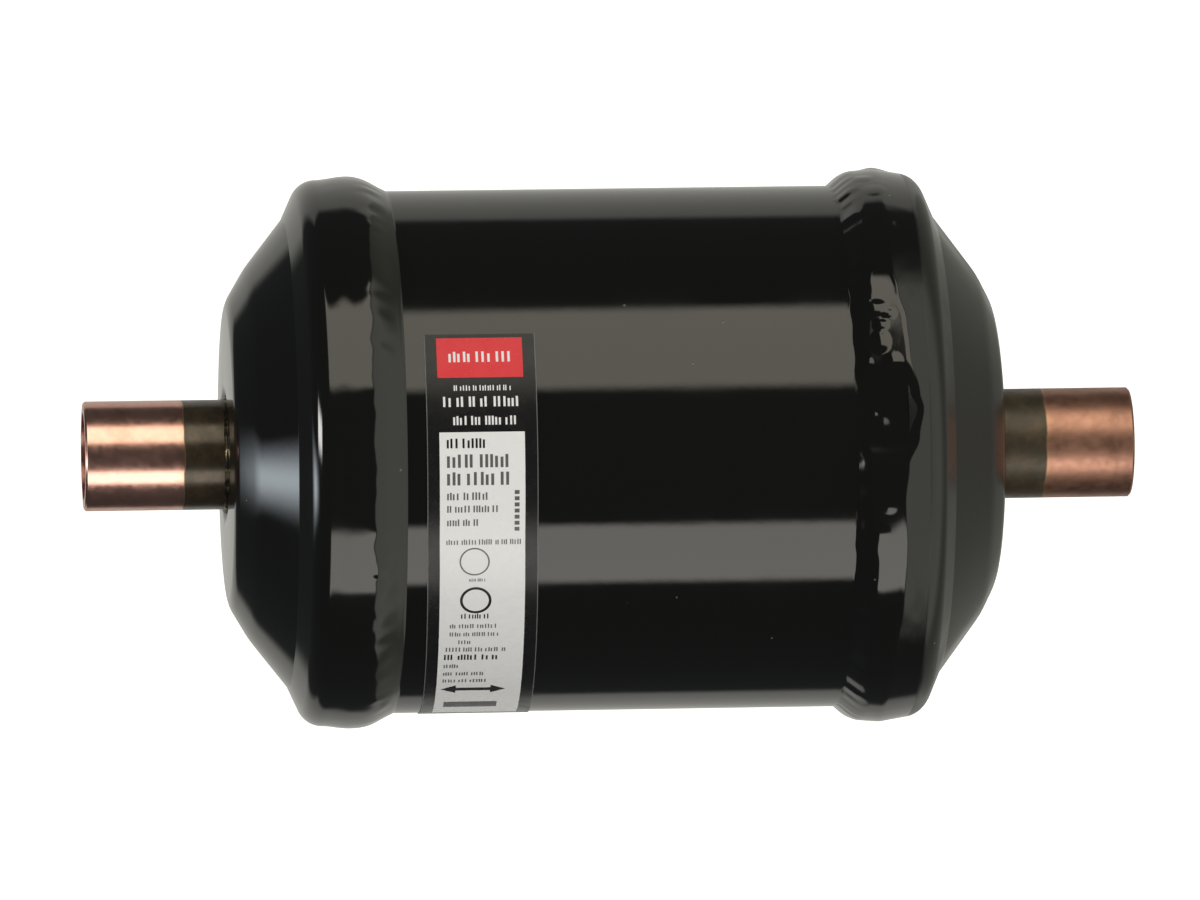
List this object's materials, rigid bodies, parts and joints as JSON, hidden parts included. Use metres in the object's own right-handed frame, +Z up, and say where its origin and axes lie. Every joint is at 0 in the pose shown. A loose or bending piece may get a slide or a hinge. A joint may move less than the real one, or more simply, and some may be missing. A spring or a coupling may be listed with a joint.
{
  "type": "filter drier",
  "caption": "Welded black steel filter drier with copper-plated solder connectors on the axis, a solid desiccant core and spring-loaded flow-reversing valves inside.",
  "frame": {"origin": "the middle of the part, on the axis of the shell", "axes": "+X along the axis towards the right-hand connector, +Z up, the label faces -Y"},
  "size_m": [0.155, 0.0821, 0.082],
  "materials": {
    "black_paint": "gloss black paint with light orange peel",
    "copper_plate": "satin copper plate on steel, heat-stained near the shell",
    "braze_filler": "rough braze filler, partly overpainted",
    "label_film": "glossy printed film",
    "zinc_steel": "zinc-plated pressed sheet",
    "valve_steel": "ground flat",
    "spring_steel": "drawn stainless wire",
    "screen_steel": "perforated sheet",
    "desiccant": "porous bonded beads",
    "fibre_pad": "pressed fibre"
  },
  "bodies": {
    "drier": {"shell_tube": "black_paint", "label": "label_film", "desiccant_core": "desiccant", "core_screen": "screen_steel", "end_cap_left": "black_paint", "end_cap_right": "black_paint", "weld_bead_left": "black_paint", "weld_bead_right": "black_paint", "connector_left": "copper_plate", "connector_right": "copper_plate", "braze_ring_left": "braze_filler", "braze_ring_right": "braze_filler", "valve_plate_left": "zinc_steel", "valve_plate_right": "zinc_steel", "outlet_cage_left": "zinc_steel", "outlet_cage_right": "zinc_steel", "cage_rivets_left": "zinc_steel", "cage_rivets_right": "zinc_steel", "core_retainer_left": "zinc_steel", "core_retainer_right": "zinc_steel", "inlet_spring_left": "spring_steel", "inlet_spring_right": "spring_steel", "outlet_spring_left": "spring_steel", "outlet_spring_right": "spring_steel", "core_gasket_left": "fibre_pad", "core_gasket_right": "fibre_pad"},
    "inlet_disc_left": {"inlet_disc_left": "valve_steel"},
    "inlet_disc_right": {"inlet_disc_right": "valve_steel"},
    "outlet_disc_left": {"outlet_disc_left": "valve_steel"},
    "outlet_disc_right": {"outlet_disc_right": "valve_steel"}
  },
  "joints": [
    {"name": "inlet_lift_left", "type": "slide", "parent": "drier", "child": "inlet_disc_left", "axis": [1, 0, 0], "range_m": [0, 0.0018], "stiffness_N_per_m": 80, "springref_m": -0.002, "deforming": ["inlet_spring_left"]},
    {"name": "outlet_lift_left", "type": "slide", "parent": "drier", "child": "outlet_disc_left", "axis": [-1, 0, 0], "range_m": [0, 0.0022], "stiffness_N_per_m": 60, "springref_m": -0.003, "deforming": ["outlet_spring_left"]},
    {"name": "inlet_lift_right", "type": "slide", "parent": "drier", "child": "inlet_disc_right", "axis": [-1, 0, 0], "range_m": [0, 0.0018], "stiffness_N_per_m": 80, "springref_m": -0.002, "deforming": ["inlet_spring_right"]},
    {"name": "outlet_lift_right", "type": "slide", "parent": "drier", "child": "outlet_disc_right", "axis": [1, 0, 0], "range_m": [0, 0.0022], "stiffness_N_per_m": 60, "springref_m": -0.003, "deforming": ["outlet_spring_right"]}
  ]
}
